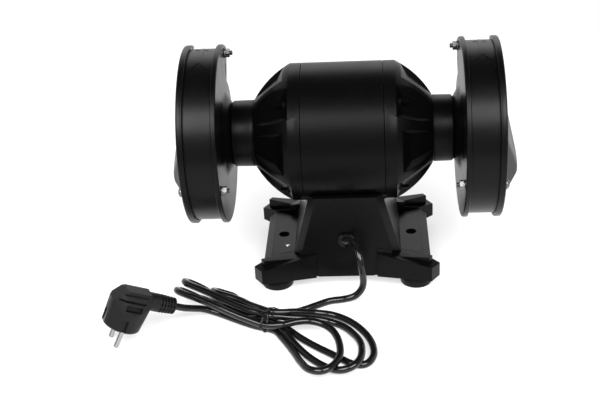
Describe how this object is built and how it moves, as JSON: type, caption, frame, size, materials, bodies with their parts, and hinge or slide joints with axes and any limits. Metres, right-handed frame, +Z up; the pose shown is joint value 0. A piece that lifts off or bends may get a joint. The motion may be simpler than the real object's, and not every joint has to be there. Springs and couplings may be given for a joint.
{
  "type": "bench grinder",
  "caption": "Bench grinder: an induction motor drives a guarded grinding wheel at each end, on a cast base with rubber feet, adjustable tool rests and a mains cable with a plug.",
  "frame": {"origin": "on the floor under the middle of the footprint of the grinder without its cable", "axes": "+X along the spindle to the operator's right, +Y to the rear, +Z up"},
  "size_m": [0.397, 0.3226, 0.231],
  "materials": {
    "motor_black": "satin gloss black enamel",
    "guard_black": "satin black enamel on pressed sheet",
    "cast_black": "fine textured black enamel on a casting",
    "zinc": "bright zinc plate",
    "steel": "turned steel",
    "core_steel": "stacked steel sheets",
    "copper": "enamelled copper wire",
    "rubber": "moulded black rubber",
    "cable": "glossy black PVC sheath",
    "black_plastic": "moulded black plastic",
    "red_plastic": "moulded red plastic",
    "abrasive": "bonded grey abrasive grain",
    "nickel": "nickel plated brass",
    "aluminium": "drawn aluminium can"
  },
  "bodies": {
    "grinder_frame": {"motor_barrel": "motor_black", "stator_core": "core_steel", "stator_windings": "copper", "tie_bolt_1": "motor_black", "tie_bolt_2": "motor_black", "tie_bolt_3": "motor_black", "tie_bolt_4": "motor_black", "left_end_bell": "motor_black", "left_bearing": "steel", "left_inner_guard": "guard_black", "left_guard_band": "guard_black", "left_outer_cover": "guard_black", "left_guard_bolt_top": "zinc", "left_guard_bolt_rear": "zinc", "left_guard_bolt_rest": "zinc", "left_arrestor_screw": "zinc", "right_end_bell": "motor_black", "right_bearing": "steel", "right_inner_guard": "guard_black", "right_guard_band": "guard_black", "right_outer_cover": "guard_black", "right_guard_bolt_top": "zinc", "right_guard_bolt_rear": "zinc", "right_guard_bolt_rest": "zinc", "right_arrestor_screw": "zinc", "base_housing": "cast_black", "bottom_cover": "zinc", "run_capacitor": "aluminium", "switch_bezel": "black_plastic", "cable_grommet": "black_plastic", "cord_lead": "cable", "cord_hank": "cable", "cord_tie": "black_plastic", "plug_body": "black_plastic", "plug_pins": "nickel", "cord_plug_lead": "cable", "foot_rear_right": "rubber", "foot_rear_left": "rubber", "foot_front_right": "rubber", "foot_front_left": "rubber"},
    "rotor": {"rotor_core": "core_steel", "rotor_shaft": "steel", "left_inner_flange": "steel", "left_grinding_wheel": "abrasive", "left_outer_flange": "steel", "left_wheel_nut": "zinc", "right_inner_flange": "steel", "right_grinding_wheel": "abrasive", "right_outer_flange": "steel", "right_wheel_nut": "zinc"},
    "switch_rocker": {"switch_rocker": "red_plastic"},
    "left_rest_arm": {"left_rest_arm": "guard_black"},
    "left_tool_rest": {"left_tool_rest": "cast_black"},
    "left_rest_knob": {"left_rest_knob": "black_plastic"},
    "left_spark_arrestor": {"left_spark_arrestor": "guard_black"},
    "right_rest_arm": {"right_rest_arm": "guard_black"},
    "right_tool_rest": {"right_tool_rest": "cast_black"},
    "right_rest_knob": {"right_rest_knob": "black_plastic"},
    "right_spark_arrestor": {"right_spark_arrestor": "guard_black"}
  },
  "joints": [
    {"name": "rotor_spin", "type": "hinge", "parent": "grinder_frame", "child": "rotor", "pos_m": [0, 0.01025, 0.1433], "axis": [1, 0, 0], "continuous": true},
    {"name": "switch_rock", "type": "hinge", "parent": "grinder_frame", "child": "switch_rocker", "pos_m": [0, -0.04475, 0.0553], "axis": [1, 0, 0], "range_deg": [0, 20]},
    {"name": "left_rest_slide", "type": "slide", "parent": "grinder_frame", "child": "left_rest_arm", "axis": [0, 1, 0], "range_m": [-0.01, 0.001]},
    {"name": "left_rest_tilt", "type": "hinge", "parent": "left_rest_arm", "child": "left_tool_rest", "pos_m": [0, -0.08575, 0.1053], "axis": [1, 0, 0], "range_deg": [0, 30]},
    {"name": "left_knob_turn", "type": "hinge", "parent": "left_rest_arm", "child": "left_rest_knob", "pos_m": [0, -0.08575, 0.1053], "axis": [1, 0, 0], "range_deg": [-90, 270]},
    {"name": "left_arrestor_slide", "type": "slide", "parent": "grinder_frame", "child": "left_spark_arrestor", "axis": [0, -0.4226, 0.9063], "range_m": [-0.001, 0.004]},
    {"name": "right_rest_slide", "type": "slide", "parent": "grinder_frame", "child": "right_rest_arm", "axis": [0, 1, 0], "range_m": [-0.01, 0.001]},
    {"name": "right_rest_tilt", "type": "hinge", "parent": "right_rest_arm", "child": "right_tool_rest", "pos_m": [0, -0.08575, 0.1053], "axis": [1, 0, 0], "range_deg": [0, 30]},
    {"name": "right_knob_turn", "type": "hinge", "parent": "right_rest_arm", "child": "right_rest_knob", "pos_m": [0, -0.08575, 0.1053], "axis": [1, 0, 0], "range_deg": [-90, 270]},
    {"name": "right_arrestor_slide", "type": "slide", "parent": "grinder_frame", "child": "right_spark_arrestor", "axis": [0, -0.4226, 0.9063], "range_m": [-0.001, 0.004]}
  ]
}
